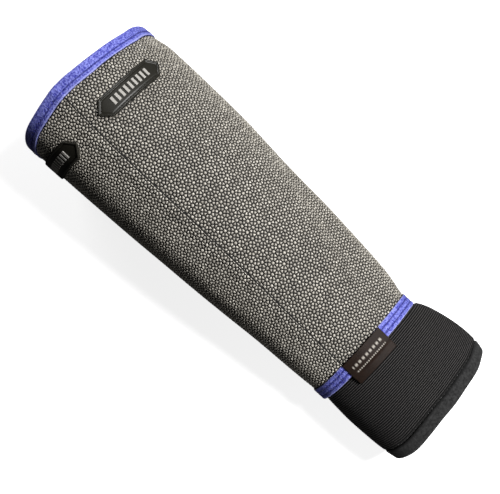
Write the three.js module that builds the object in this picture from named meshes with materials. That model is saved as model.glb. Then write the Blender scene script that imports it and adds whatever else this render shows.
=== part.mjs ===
// Forearm guard sleeve, lying on a table with nobody in it.
// Millimetres. +X runs along the sleeve from the elbow end to the wrist end, +Y across it, +Z up.
// The floor is z = 0. Stations are measured along the sleeve from the elbow mouth.
// Distances round the sleeve are measured on its surface from the lapped seam, plus towards +Y.

import * as THREE from 'three';

// Lengths along the sleeve: the guard as far as the wrist tape, the tape, the cuff past it
const guardLength = 262.5;
const bandWidth = 9.5;
const cuffLength = 65;
const bindingWidth = 10.5;
const guardUnderTape = 7.5;
const cuffTuck = 12;
const hemWidth = 10;
const hemTurn = 5;

// Width and height of the tube at the elbow mouth, at the wrist tape and at the hand end
const elbowWidth = 116.5;
const elbowHeight = 98.5;
const wristWidth = 91;
const wristHeight = 60.6;
const handWidth = 96;
const handHeight = 56.4;

// Thicknesses and clearances
const guardWall = 2;
const cuffWall = 2;
const tapeThickness = 1.2;
const hemTurnThickness = 1.7;
const hemSwell = 0.6;
const gap = 0.3;

// Stations and heights that follow from them
const bandStart = guardLength;
const bandEnd = bandStart + bandWidth;
const totalLength = bandEnd + cuffLength;
const tapeTop = gap + tapeThickness;
const guardStart = tapeTop + gap;
const guardEnd = bandStart + guardUnderTape;
const hemStart = totalLength - hemWidth;

// Points round each ring
const pointsRound = 64;
const curveSteps = 90;

// Form of the guard, one row a station, in shares. At is a share of the guard's length. Left and right
// are the half widths and rest is the half width that lies flat, as shares of the width there.
// High is the crown and waist the level of the widest points, as shares of the height there.
// Tape is how far the underside is held off the floor, as a share of the tape's height.
const guardShares = [
  { at: 0, left: 0.5, right: 0.5, high: 1, waist: 0.447, rest: 0.232, tape: 1 },
  { at: 0.046, left: 0.505, right: 0.512, high: 1.019, waist: 0.455, rest: 0.243, tape: 1 },
  { at: 0.091, left: 0.511, right: 0.535, high: 1.04, waist: 0.463, rest: 0.263, tape: 0.333 },
  { at: 0.145, left: 0.512, right: 0.543, high: 1.057, waist: 0.468, rest: 0.275, tape: 0 },
  { at: 0.213, left: 0.512, right: 0.55, high: 1.073, waist: 0.476, rest: 0.279, tape: 0 },
  { at: 0.362, left: 0.515, right: 0.561, high: 1.087, waist: 0.484, rest: 0.289, tape: 0 },
  { at: 0.472, left: 0.514, right: 0.557, high: 1.092, waist: 0.484, rest: 0.287, tape: 0 },
  { at: 0.579, left: 0.514, right: 0.555, high: 1.089, waist: 0.483, rest: 0.285, tape: 0 },
  { at: 0.69, left: 0.509, right: 0.556, high: 1.083, waist: 0.484, rest: 0.283, tape: 0 },
  { at: 0.796, left: 0.502, right: 0.549, high: 1.068, waist: 0.476, rest: 0.281, tape: 0 },
  { at: 0.907, left: 0.503, right: 0.538, high: 1.045, waist: 0.468, rest: 0.268, tape: 0 },
  { at: 0.956, left: 0.502, right: 0.521, high: 1.025, waist: 0.466, rest: 0.261, tape: 0.4 },
  { at: 0.998, left: 0.5, right: 0.499, high: 0.999, waist: 0.461, rest: 0.253, tape: 1 },
  { at: 1.044, left: 0.497, right: 0.497, high: 0.99, waist: 0.454, rest: 0.253, tape: 1 },
];

// Form of the cuff past the tape, in the same columns. At is a share of the cuff's length. Tuck and
// hem hold the underside off the floor: shares of the layers it comes out of, and of the hem's swell.
const cuffShares = [
  { at: 0.023, left: 0.485, right: 0.526, high: 0.967, waist: 0.446, rest: 0.241, tuck: 0.684, hem: 0 },
  { at: 0.077, left: 0.488, right: 0.547, high: 0.979, waist: 0.448, rest: 0.252, tuck: 0.474, hem: 0 },
  { at: 0.169, left: 0.49, right: 0.569, high: 0.995, waist: 0.451, rest: 0.261, tuck: 0.211, hem: 0 },
  { at: 0.338, left: 0.491, right: 0.593, high: 1.014, waist: 0.448, rest: 0.28, tuck: 0.053, hem: 0 },
  { at: 0.554, left: 0.48, right: 0.607, high: 1.023, waist: 0.446, rest: 0.288, tuck: 0, hem: 0 },
  { at: 0.769, left: 0.464, right: 0.605, high: 1.021, waist: 0.453, rest: 0.285, tuck: 0, hem: 0.667 },
  { at: 0.892, left: 0.447, right: 0.591, high: 1.013, waist: 0.457, rest: 0.272, tuck: 0, hem: 1.167 },
  { at: 1.015, left: 0.429, right: 0.568, high: 1, waist: 0.461, rest: 0.26, tuck: 0, hem: 1.667 },
];

// Roundness of the four quarters of a section: 2 is an ellipse, less is straighter
const quarters = { rightTop: 1.7, leftTop: 2.1, under: 2 };

// Where the crown and the seam lie across the sleeve: shares of its length and of the width there
const crownShares = [
  { at: 0, side: -0.026 },
  { at: 0.777, side: -0.044 },
  { at: 1, side: -0.01 },
];
const seamShares = [
  { at: 0, side: -0.123 },
  { at: 0.2, side: -0.148 },
  { at: 0.4, side: -0.159 },
  { at: 0.777, side: -0.214 },
  { at: 1, side: -0.216 },
];

// Lapped seam: one edge folded over the other, raised between the fold and its topstitching
const lap = { height: 0.9, edge: 0.5, fade: 2.5, widthAtMouth: 6, widthAtWrist: 7.6 };

// Soft folds: each is a shallow valley from one place to another on the surface. From and to are
// shares of the guard's or the cuff's length, the rest are shares of the width at the elbow.
const guardFolds = [
  { from: 0.514, fromRound: 0.733, to: 1.021, toRound: 0.386, depth: 0.0215, width: 0.077 },
  { from: 0.857, fromRound: 0.167, to: 0.998, toRound: 0.11, depth: -0.0086, width: 0.069 },
  { from: 0.137, fromRound: -0.281, to: 0.107, toRound: -0.555, depth: 0.0086, width: 0.137 },
];
const cuffFolds = [
  { from: 0.185, fromRound: -0.285, to: 0.508, toRound: -0.251, depth: 0.0103, width: 0.06 },
];

// The two mouths aren't quite flat. Side is a share of half the width there, shift of the whole width,
// and the reach is how far the bend runs on, as a share of the guard's or the cuff's length.
const mouthBowShares = [
  { side: -0.996, shift: -0.0275 },
  { side: -0.858, shift: -0.0232 },
  { side: -0.618, shift: -0.0077 },
  { side: -0.172, shift: -0.0026 },
  { side: 0.069, shift: 0.0094 },
  { side: 0.292, shift: 0.0129 },
  { side: 0.515, shift: 0.0094 },
  { side: 0.755, shift: -0.0009 },
  { side: 0.91, shift: -0.0206 },
  { side: 1.03, shift: -0.0258 },
];
const endBowShares = [
  { side: -1.042, shift: 0.0125 },
  { side: -0.854, shift: 0.0156 },
  { side: -0.583, shift: 0.0229 },
  { side: -0.292, shift: 0.0063 },
  { side: 0, shift: -0.0094 },
  { side: 0.292, shift: -0.0135 },
  { side: 0.583, shift: -0.025 },
  { side: 0.875, shift: -0.0333 },
  { side: 1.062, shift: -0.0542 },
  { side: 1.208, shift: -0.0625 },
];
const bowReach = { mouth: 0.267, end: 0.77 };

// Where the rings of the guard and the cuff lie: shares of the length between their fixed stations
const outerRings = [0.03, 0.065, 0.109, 0.165, 0.228, 0.311, 0.395, 0.478, 0.561, 0.645, 0.728, 0.811, 0.895,
  0.927, 0.962];
const innerRings = [0.943, 0.835, 0.727, 0.619, 0.511, 0.403, 0.295, 0.187, 0.079];
const cuffOuterRings = [0.033, 0.082, 0.146, 0.238, 0.329, 0.439, 0.567, 0.713, 0.859];
const cuffInnerRings = [0.8, 0.58, 0.38, 0.22, 0.09];

// Moulded patches: long hexagons with a raised border, laid round the sleeve. From is the middle's
// distance from the elbow mouth, round a share of the width at the elbow.
const patchSize = { length: 58, width: 15.5, tip: 6.5, border: 1.6, plate: 1, rim: 0.6, steps: 8 };
const patchPlaces = [
  { name: 'front_patch', from: 34.5, round: 0.316, slant: -0.045 },
  { name: 'side_patch', from: 30, round: -0.388, slant: 0.2 },
];

// Woven label over the whole tape and on to the cuff, beside the end of the seam
const label = { width: 35, pastTape: 8, thickness: 0.9, fromSeam: 0.4, clear: 0.6, steps: 6 };

// Colours
const guardGrey = { color: 0x57544f, roughness: 0.75, metalness: 0 };
const tapeBlue = { color: 0x3b41c4, roughness: 0.7, metalness: 0 };
const knitBlack = { color: 0x1d1d1e, roughness: 0.9, metalness: 0 };
const hemBlack = { color: 0x232324, roughness: 0.9, metalness: 0 };
const rubberBlack = { color: 0x141414, roughness: 0.5, metalness: 0 };
const labelBrown = { color: 0x241b17, roughness: 0.6, metalness: 0 };

// Nominal width and height at a station: straight from elbow to wrist tape, and on to the hand end
function nominal(x) {
  const onGuard = Math.min(Math.max(x / guardLength, 0), 1);
  const onCuff = Math.min(Math.max((x - bandEnd) / cuffLength, 0), 1);
  const width = elbowWidth + (wristWidth - elbowWidth) * onGuard + (handWidth - wristWidth) * onCuff;
  const height = elbowHeight + (wristHeight - elbowHeight) * onGuard + (handHeight - wristHeight) * onCuff;
  return { width, height };
}

// A row of a form in millimetres
function formRow(row, x, lift) {
  const { width, height } = nominal(x);
  const across = { left: row.left * width, right: row.right * width, rest: row.rest * width };
  return { x, ...across, high: row.high * height, waist: row.waist * height, lift };
}

const layers = guardWall + gap + tapeTop;
const guardForm = guardShares.map((row) => formRow(row, row.at * guardLength, row.tape * tapeTop));
const cuffForm = cuffShares.map((row) => {
  return formRow(row, bandEnd + row.at * cuffLength, row.tuck * layers + row.hem * hemSwell);
});

// A line across the sleeve in millimetres
function lineRows(shares) {
  return shares.map((row) => {
    const x = row.at * totalLength;
    return { x, y: row.side * nominal(x).width };
  });
}

const crownLine = lineRows(crownShares);
const seamLine = lineRows(seamShares);

// A fold in millimetres, from the start and the length of the part it lies on
function foldRow(row, start, length) {
  return {
    fromX: start + row.from * length,
    fromRound: row.fromRound * elbowWidth,
    toX: start + row.to * length,
    toRound: row.toRound * elbowWidth,
    depth: row.depth * elbowWidth,
    width: row.width * elbowWidth,
  };
}

const folds = [
  ...guardFolds.map((row) => foldRow(row, 0, guardLength)),
  ...cuffFolds.map((row) => foldRow(row, bandEnd, cuffLength)),
];

function bowRows(shares, width) {
  return shares.map((row) => ({ y: row.side * width / 2, shift: row.shift * width }));
}

const mouthBow = bowRows(mouthBowShares, elbowWidth);
const endBow = bowRows(endBowShares, handWidth);

// A value between the rows of a table, on a smooth curve through them
function along(table, key, x, by = 'x') {
  const last = table.length - 1;
  if (x <= table[0][by]) return table[0][key];
  if (x >= table[last][by]) return table[last][key];
  let i = 0;
  while (x > table[i + 1][by]) i += 1;
  const a = table[i];
  const b = table[i + 1];
  const before = table[Math.max(i - 1, 0)];
  const after = table[Math.min(i + 2, last)];
  const span = b[by] - a[by];
  const t = (x - a[by]) / span;
  const slopeA = (b[key] - before[key]) / (b[by] - before[by]) * span;
  const slopeB = (after[key] - a[key]) / (after[by] - a[by]) * span;
  const t2 = t * t;
  const t3 = t2 * t;
  const hermite = (2 * t3 - 3 * t2 + 1) * a[key] + (t3 - 2 * t2 + t) * slopeA;
  const value = hermite + (3 * t2 - 2 * t3) * b[key] + (t3 - t2) * slopeB;
  const flat = a[key] === b[key];
  return flat ? a[key] : value;
}

function smooth(t) {
  const c = Math.min(Math.max(t, 0), 1);
  return c * c * (3 - 2 * c);
}

// One quarter of a section from where it is level to where it is upright
function quarter(from, reachY, reachZ, power, steps, list) {
  for (let i = 0; i < steps; i += 1) {
    const a = i / steps * Math.PI / 2;
    const y = Math.pow(Math.sin(a), 2 / power);
    const z = Math.pow(Math.cos(a), 2 / power);
    list.push([from[0] + reachY * y, from[1] + reachZ * z]);
  }
}

// The whole outline of a section, from the crown round by +Y, the underside and -Y
function outline(form, x) {
  const left = -along(form, 'left', x);
  const right = along(form, 'right', x);
  const high = along(form, 'high', x);
  const waist = along(form, 'waist', x);
  const lift = along(form, 'lift', x);
  const rest = along(form, 'rest', x);
  const crown = along(crownLine, 'y', x);
  const middle = (left + right) / 2;
  const list = [];
  quarter([crown, waist], right - crown, high - waist, quarters.rightTop, curveSteps, list);
  const underRight = [];
  const flatRight = [middle + rest, waist];
  quarter(flatRight, right - middle - rest, lift - waist, quarters.under, curveSteps, underRight);
  underRight.push([right, waist]);
  list.push(...underRight.reverse());
  const flatSteps = 30;
  for (let i = 1; i < flatSteps; i += 1) list.push([middle + rest * (1 - 2 * i / flatSteps), lift]);
  quarter([middle - rest, waist], left - middle + rest, lift - waist, quarters.under, curveSteps, list);
  const leftTop = [];
  quarter([crown, waist], left - crown, high - waist, quarters.leftTop, curveSteps, leftTop);
  leftTop.push([left, waist]);
  leftTop.shift();
  list.push(...leftTop.reverse());
  return list;
}

// The outline measured round from the seam, with the place and outward direction at any distance
function section(form, x) {
  const points = outline(form, x);
  const count = points.length;
  const seamY = along(seamLine, 'y', x);
  let seamAt = count - 1;
  while (points[seamAt][0] > seamY || points[seamAt][1] < along(form, 'waist', x)) seamAt -= 1;
  const a = points[seamAt];
  const b = points[(seamAt + 1) % count];
  const part = (seamY - a[0]) / (b[0] - a[0]);
  const start = [seamY, a[1] + (b[1] - a[1]) * part];
  const ring = [start];
  for (let i = 1; i <= count; i += 1) ring.push(points[(seamAt + i) % count]);
  ring.push(start);
  const at = [0];
  for (let i = 1; i < ring.length; i += 1) {
    at.push(at[i - 1] + Math.hypot(ring[i][0] - ring[i - 1][0], ring[i][1] - ring[i - 1][1]));
  }
  return { ring, at, girth: at[at.length - 1] };
}

function placeOn(sec, round) {
  const g = sec.girth;
  const s = ((round % g) + g) % g;
  let low = 0;
  let high = sec.at.length - 1;
  while (high - low > 1) {
    const mid = (low + high) >> 1;
    if (sec.at[mid] <= s) low = mid;
    else high = mid;
  }
  const t = (s - sec.at[low]) / Math.max(sec.at[low + 1] - sec.at[low], 1e-9);
  const p = sec.ring[low];
  const q = sec.ring[low + 1];
  return [p[0] + (q[0] - p[0]) * t, p[1] + (q[1] - p[1]) * t];
}

// Height of the lapped seam at a distance round from the seam
function lapHeight(x, round) {
  const width = lap.widthAtMouth + (lap.widthAtWrist - lap.widthAtMouth) * x / guardEnd;
  if (round >= 0) return lap.height * (1 - smooth(round / lap.edge));
  const fade = smooth((round + width + lap.fade) / lap.fade);
  const dip = 1 - 0.25 * Math.sin(Math.PI * Math.min(-round / width, 1));
  return lap.height * fade * dip;
}

// How far the folds press the surface in at a place
function foldDepth(x, round) {
  let depth = 0;
  for (const f of folds) {
    const dx = f.toX - f.fromX;
    const dr = f.toRound - f.fromRound;
    const t = ((x - f.fromX) * dx + (round - f.fromRound) * dr) / (dx * dx + dr * dr);
    const c = Math.min(Math.max(t, 0), 1);
    const away = Math.hypot(x - f.fromX - c * dx, round - f.fromRound - c * dr);
    const swell = 0.35 + 0.65 * Math.sin(Math.PI * c);
    depth += f.depth * swell * Math.exp(-away * away / (f.width * f.width));
  }
  return depth;
}

// How far a point is shifted along the sleeve, most at the two mouths
function bow(x, y) {
  const mouthReach = bowReach.mouth * guardLength;
  const endReach = bowReach.end * cuffLength;
  const atMouth = 1 - smooth(x / mouthReach);
  const atEnd = smooth((x - totalLength + endReach) / endReach);
  return atMouth * along(mouthBow, 'shift', y, 'y') + atEnd * along(endBow, 'shift', y, 'y');
}

// A point of the sleeve's surface, raised by a height along the outward direction
function surface(form, sec, x, round, height, lapped) {
  const reach = 1.5;
  const p = placeOn(sec, round);
  const a = placeOn(sec, round - reach);
  const b = placeOn(sec, round + reach);
  const size = Math.hypot(b[0] - a[0], b[1] - a[1]);
  const out = [-(b[1] - a[1]) / size, (b[0] - a[0]) / size];
  const flat = p[1] < along(form, 'lift', x) + 1e-6;
  const direction = flat ? [0, -1] : out;
  const signed = round > sec.girth / 2 ? round - sec.girth : round;
  const pressed = flat ? 0 : foldDepth(x, signed);
  const raised = lapped ? lapHeight(x, signed) : 0;
  const total = height - pressed + raised;
  const y = p[0] + direction[0] * total;
  const z = p[1] + direction[1] * total;
  return [x + bow(x, y), y, z];
}

// Distances round at which every ring has its points, close together at the seam
function roundList(girth, x) {
  const width = lap.widthAtMouth + (lap.widthAtWrist - lap.widthAtMouth) * x / guardEnd;
  const near = [0, lap.edge];
  const last = [-width - lap.fade, -width, -width / 2];
  const from = lap.edge;
  const to = girth - width - lap.fade;
  const many = pointsRound - near.length - last.length;
  const list = [...near];
  for (let i = 1; i <= many; i += 1) list.push(from + (to - from) * i / (many + 1));
  for (const d of last) list.push(girth + d);
  return list;
}

// One ring: all points at a station and a height over the surface
function ringAt(form, x, height, lapped) {
  const sec = section(form, x);
  return roundList(sec.girth, x).map((round) => surface(form, sec, x, round, height, lapped));
}

// A closed tube-like solid from a loop of rings
function loopSolid(rings) {
  const position = rings.flat(2);
  const index = [];
  const n = pointsRound;
  for (let r = 0; r < rings.length; r += 1) {
    const next = (r + 1) % rings.length;
    for (let k = 0; k < n; k += 1) {
      const l = (k + 1) % n;
      const a = r * n + k;
      const b = r * n + l;
      const c = next * n + l;
      const d = next * n + k;
      index.push(a, b, c, a, c, d);
    }
  }
  return solid(position, index);
}

// Geometry from points and faces, turned outward
function solid(position, index) {
  const geometry = new THREE.BufferGeometry();
  geometry.setAttribute('position', new THREE.Float32BufferAttribute(position, 3));
  let volume = 0;
  const p = (i) => new THREE.Vector3(position[3 * i], position[3 * i + 1], position[3 * i + 2]);
  for (let i = 0; i < index.length; i += 3) {
    volume += p(index[i]).dot(p(index[i + 1]).cross(p(index[i + 2])));
  }
  if (volume < 0) {
    for (let i = 0; i < index.length; i += 3) [index[i + 1], index[i + 2]] = [index[i + 2], index[i + 1]];
  }
  geometry.setIndex(index);
  geometry.computeVertexNormals();
  return geometry;
}

// Stations between two places, at even steps or at the shares in a list
function stations(from, to, steps) {
  return Array.from({ length: steps + 1 }, (_, i) => from + (to - from) * i / steps);
}

function ringsBetween(from, to, shares) {
  return shares.map((share) => from + (to - from) * share);
}

// Guard: outer face towards the wrist, inner face back
function guardSleeve() {
  const tuckStart = guardEnd - cuffTuck;
  const there = [guardStart, bindingWidth, ...ringsBetween(bindingWidth, bandStart, outerRings)];
  there.push(bandStart, guardEnd);
  const back = [guardEnd, tuckStart, ...ringsBetween(bindingWidth, tuckStart, innerRings)];
  back.push(bindingWidth, guardStart);
  const outer = there.map((x) => ringAt(guardForm, x, 0, true));
  const inner = back.map((x) => ringAt(guardForm, x, -guardWall, false));
  return loopSolid(outer.concat(inner));
}

// Tape folded over the elbow edge
function topBinding() {
  const under = -guardWall - gap;
  const low = -guardWall - tapeTop;
  const bottom = guardStart - gap;
  const end = bindingWidth;
  const profile = [
    [end, gap, true],
    [end, tapeTop - 0.3, true],
    [end - 0.8, tapeTop, true],
    [bottom, tapeTop, true],
    [0.3, 0.6, true],
    [0, -guardWall / 2, false],
    [0.3, low + 1, false],
    [bottom, low, false],
    [end, low, false],
    [end, under, false],
    [bottom, under, false],
    [bottom, gap, true],
  ];
  return loopSolid(profile.map(([x, height, lapped]) => ringAt(guardForm, x, height, lapped)));
}

// Tape round the join of guard and cuff
function wristBand() {
  const profile = [
    [bandStart, gap],
    [bandStart, tapeTop - 0.35],
    [bandStart + 0.8, tapeTop],
    [bandEnd - 0.8, tapeTop],
    [bandEnd, tapeTop - 0.35],
    [bandEnd, gap],
  ];
  return loopSolid(profile.map(([x, height]) => ringAt(guardForm, x, height, true)));
}

// Cuff: its start is tucked inside the guard, the rest swells out
function cuff() {
  const tuckedTop = -guardWall - gap;
  const end = hemStart - gap;
  const overTurn = hemStart - hemTurn;
  const tucked = [guardEnd - cuffTuck, guardEnd, bandEnd - gap];
  const free = [...ringsBetween(bandEnd, end, cuffOuterRings), end];
  const outer = tucked.map((x) => ringAt(guardForm, x, tuckedTop, false));
  outer.push(...free.map((x) => ringAt(cuffForm, x, 0, false)));
  const back = [end, overTurn, ...ringsBetween(bandEnd, overTurn, cuffInnerRings)];
  const inner = back.map((x) => ringAt(cuffForm, x, -cuffWall, false));
  inner.push(...tucked.reverse().map((x) => ringAt(guardForm, x, tuckedTop - cuffWall, false)));
  return loopSolid(outer.concat(inner));
}

// Hem: the end of the cuff folded back inside itself
function cuffHem() {
  const edge = 0.12 * hemWidth;
  const middle = hemStart + 0.6 * hemWidth;
  const under = -cuffWall - gap;
  const low = under - hemTurnThickness;
  const profile = [
    [hemStart, 0.1],
    [hemStart + edge, hemSwell],
    [middle, hemSwell - 0.1],
    [totalLength - edge, hemSwell - 1.1],
    [totalLength, (low + 0.5) / 2],
    [totalLength - edge, low + 0.9],
    [middle, low],
    [hemStart - hemTurn, low],
    [hemStart - hemTurn, under],
    [hemStart, under],
  ];
  return loopSolid(profile.map(([x, height]) => ringAt(cuffForm, x, height, false)));
}

// Faces that close an end: a fan for a compact loop of n points, a strip for a long thin one
function fanCap(n) {
  return Array.from({ length: n - 2 }, (_, k) => [0, k + 2, k + 1]);
}

function stripCap(n) {
  return Array.from({ length: n / 2 - 1 }, (_, k) => [
    [k, n - 1 - k, k + 1],
    [k + 1, n - 1 - k, n - 2 - k],
  ]).flat();
}

// A plate laid on the surface. Each slice crosses it at a distance round, with its half width,
// and each slice holds the same loop of points: across the top, then back underneath.
function slicedPlate(slices, cap, pointAt) {
  const position = [];
  const index = [];
  const n = slices[0].loop.length;
  for (const slice of slices) {
    for (const [across, height] of slice.loop) position.push(...pointAt(slice, across, height));
  }
  for (let i = 0; i + 1 < slices.length; i += 1) {
    for (let k = 0; k < n; k += 1) {
      const l = (k + 1) % n;
      const a = i * n + k;
      const b = i * n + l;
      const c = (i + 1) * n + l;
      const d = (i + 1) * n + k;
      index.push(a, b, c, a, c, d);
    }
  }
  const last = (slices.length - 1) * n;
  for (const [i, j, k] of cap) index.push(i, j, k, last + i, last + k, last + j);
  return solid(position, index);
}

// Patch: slices run round the sleeve, each one across the patch along the sleeve
function patch(place) {
  const half = patchSize.length / 2;
  const full = patchSize.width / 2;
  const blunt = 0.8;
  const bottom = gap;
  const plate = bottom + patchSize.plate;
  const rim = plate + patchSize.rim;
  const inset = patchSize.border;
  const widthAt = (s) => Math.min(full, blunt + (full - blunt) * (half - Math.abs(s)) / patchSize.tip);
  const marks = [-half, -half + inset * 0.8, -half + inset * 1.6, -half + patchSize.tip];
  const between = stations(-half + patchSize.tip, half - patchSize.tip, patchSize.steps).slice(1, -1);
  const all = [...marks, ...between, ...marks.map((s) => -s).reverse()];
  const slices = all.map((s) => {
    const w = widthAt(s);
    const inner = Math.max(w - inset, 0.25 * w);
    const open = half - Math.abs(s) > inset * 1.2 && w > inset * 1.5;
    const floor = open ? plate : rim;
    const loop = [
      [-w, bottom],
      [-w, rim - 0.3],
      [-w * 0.9, rim],
      [-inner, rim],
      [-inner * 0.9, floor],
      [inner * 0.9, floor],
      [inner, rim],
      [w * 0.9, rim],
      [w, rim - 0.3],
      [w, bottom],
      [w * 0.35, bottom],
      [-w * 0.35, bottom],
    ];
    return { s, loop };
  });
  return slicedPlate(slices, fanCap(slices[0].loop.length), (slice, across, height) => {
    const x = place.from + across + place.slant * slice.s;
    const sec = section(guardForm, x);
    const round = place.round * elbowWidth + slice.s;
    return surface(guardForm, sec, x, round, height, false);
  });
}

// Label: slices run along the sleeve, over the band and down on to the cuff
function wovenLabel() {
  const end = bandEnd + label.pastTape;
  const landing = (bandEnd + end) / 2;
  const onBand = tapeTop + gap;
  const lifted = label.clear + 0.5;
  const places = [bandStart, (bandStart + bandEnd) / 2, bandEnd, (bandEnd + landing) / 2, landing, end];
  const slices = places.map((x) => {
    const onCuff = lifted + (label.clear - lifted) * (x - landing) / (end - landing);
    const bottom = x <= bandEnd ? onBand : onCuff;
    const top = bottom + label.thickness;
    const marks = stations(0, 1, label.steps);
    const over = marks.map((t) => [label.fromSeam + label.width * t, top]);
    const under = marks.reverse().map((t) => [label.fromSeam + label.width * t, bottom]);
    return { x, loop: [...over, ...under] };
  });
  return slicedPlate(slices, stripCap(slices[0].loop.length), (slice, round, height) => {
    const onGuard = slice.x <= bandEnd;
    const form = onGuard ? guardForm : cuffForm;
    const x = onGuard ? slice.x : Math.max(slice.x, landing);
    const sec = section(form, x);
    const p = surface(form, sec, x, round, height, false);
    if (onGuard || slice.x >= landing) return p;
    const lastSec = section(guardForm, bandEnd);
    const last = surface(guardForm, lastSec, bandEnd, round, onBand + height - lifted, false);
    const t = (slice.x - bandEnd) / (landing - bandEnd);
    return [slice.x, last[1] + (p[1] - last[1]) * t, last[2] + (p[2] - last[2]) * t];
  });
}

function piece(name, geometry, finish) {
  const mesh = new THREE.Mesh(geometry, new THREE.MeshStandardMaterial(finish));
  mesh.name = name;
  return mesh;
}

const sleeve = new THREE.Group();
sleeve.name = 'guard_sleeve_assembly';
sleeve.add(piece('guard_sleeve', guardSleeve(), guardGrey));
sleeve.add(piece('top_binding', topBinding(), tapeBlue));
sleeve.add(piece('wrist_band', wristBand(), tapeBlue));
sleeve.add(piece('cuff', cuff(), knitBlack));
sleeve.add(piece('cuff_hem', cuffHem(), hemBlack));
for (const place of patchPlaces) sleeve.add(piece(place.name, patch(place), rubberBlack));
sleeve.add(piece('woven_label', wovenLabel(), labelBrown));

// The origin is the middle of the whole sleeve's underside
const middle = new THREE.Box3().setFromObject(sleeve).getCenter(new THREE.Vector3());
for (const mesh of sleeve.children) mesh.geometry.translate(-middle.x, -middle.y, 0);

export default sleeve;
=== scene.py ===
# %% [markdown]
# # A forearm guard sleeve, dressed in Blender
# The real object is a cut resistant work sleeve. It is a tapered tube of cloth that carries thousands
# of small hard plates, bound with blue tape at the elbow and sewn to a ribbed elastic cuff at the
# wrist. It lies on a table with nobody in it.
# The CAD model gives its true form. This script gives it what the eye sees close up: plates, weave,
# stitches, ribs and sheen. Every piece follows the same curved surface that the CAD is built on.

# %% Load the CAD frame
import math

import bpy
import numpy as np
from mathutils import Matrix, Vector


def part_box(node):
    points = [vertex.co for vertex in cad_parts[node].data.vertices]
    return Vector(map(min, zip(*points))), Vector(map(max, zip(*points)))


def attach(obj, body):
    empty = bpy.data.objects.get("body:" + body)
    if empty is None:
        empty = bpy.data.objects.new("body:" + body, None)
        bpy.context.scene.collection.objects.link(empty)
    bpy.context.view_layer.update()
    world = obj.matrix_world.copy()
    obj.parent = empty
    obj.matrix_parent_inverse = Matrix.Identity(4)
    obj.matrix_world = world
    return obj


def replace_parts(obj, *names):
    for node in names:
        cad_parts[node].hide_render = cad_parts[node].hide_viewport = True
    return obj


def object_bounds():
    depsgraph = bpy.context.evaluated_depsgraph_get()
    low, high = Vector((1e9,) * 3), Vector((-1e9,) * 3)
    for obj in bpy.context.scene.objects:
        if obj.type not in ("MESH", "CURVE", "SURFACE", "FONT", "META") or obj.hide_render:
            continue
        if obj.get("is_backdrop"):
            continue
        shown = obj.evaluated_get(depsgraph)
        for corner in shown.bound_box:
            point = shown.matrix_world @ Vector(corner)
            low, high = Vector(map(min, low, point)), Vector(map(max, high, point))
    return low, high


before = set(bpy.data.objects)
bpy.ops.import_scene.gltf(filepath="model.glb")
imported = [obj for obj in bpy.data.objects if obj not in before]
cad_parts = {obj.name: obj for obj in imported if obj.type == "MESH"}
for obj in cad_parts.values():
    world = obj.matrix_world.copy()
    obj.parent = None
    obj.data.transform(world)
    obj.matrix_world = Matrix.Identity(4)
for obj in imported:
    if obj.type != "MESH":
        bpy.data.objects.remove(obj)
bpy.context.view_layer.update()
MM = 0.001

# %% [markdown]
# ## Sizes
# A sleeve like this is cut and sewn to a handful of sizes, so the script starts from the same ones as
# the CAD source, in millimetres. Stations are measured along the sleeve from the elbow mouth.
# Distances round it start at the lapped seam and grow towards +Y.

# %% Named sizes
GUARD_LENGTH = 262.5
BAND_WIDTH = 9.5
CUFF_LENGTH = 65.0
BINDING_WIDTH = 10.5
GUARD_UNDER_TAPE = 7.5
CUFF_TUCK = 12.0
HEM_WIDTH = 10.0
HEM_TURN = 5.0
ELBOW_WIDTH, ELBOW_HEIGHT = 116.5, 98.5
WRIST_WIDTH, WRIST_HEIGHT = 91.0, 60.6
HAND_WIDTH, HAND_HEIGHT = 96.0, 56.4
GUARD_WALL = 2.0
CUFF_WALL = 2.0
TAPE_THICKNESS = 1.2
HEM_TURN_THICKNESS = 1.7
HEM_SWELL = 0.6
GAP = 0.3

BAND_START = GUARD_LENGTH
BAND_END = BAND_START + BAND_WIDTH
TOTAL_LENGTH = BAND_END + CUFF_LENGTH
TAPE_TOP = GAP + TAPE_THICKNESS
GUARD_START = TAPE_TOP + GAP
GUARD_END = BAND_START + GUARD_UNDER_TAPE
HEM_START = TOTAL_LENGTH - HEM_WIDTH
LAYERS = GUARD_WALL + GAP + TAPE_TOP
print("sleeve length:", TOTAL_LENGTH, "mm")

# %% [markdown]
# ## The form in tables
# Each row is one section across the sleeve. Widths and heights are shares of the nominal width and
# height there, so the table keeps its meaning when a size changes.

# %% Section tables
def table(columns, rows):
    """Rows of numbers as a dictionary of named columns."""
    return dict(zip(columns.split(), np.array(rows, float).T))


guard_shares = table("at left right high waist rest tape", [
    (0, 0.5, 0.5, 1, 0.447, 0.232, 1),
    (0.046, 0.505, 0.512, 1.019, 0.455, 0.243, 1),
    (0.091, 0.511, 0.535, 1.04, 0.463, 0.263, 0.333),
    (0.145, 0.512, 0.543, 1.057, 0.468, 0.275, 0),
    (0.213, 0.512, 0.55, 1.073, 0.476, 0.279, 0),
    (0.362, 0.515, 0.561, 1.087, 0.484, 0.289, 0),
    (0.472, 0.514, 0.557, 1.092, 0.484, 0.287, 0),
    (0.579, 0.514, 0.555, 1.089, 0.483, 0.285, 0),
    (0.69, 0.509, 0.556, 1.083, 0.484, 0.283, 0),
    (0.796, 0.502, 0.549, 1.068, 0.476, 0.281, 0),
    (0.907, 0.503, 0.538, 1.045, 0.468, 0.268, 0),
    (0.956, 0.502, 0.521, 1.025, 0.466, 0.261, 0.4),
    (0.998, 0.5, 0.499, 0.999, 0.461, 0.253, 1),
    (1.044, 0.497, 0.497, 0.99, 0.454, 0.253, 1),
])
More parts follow.
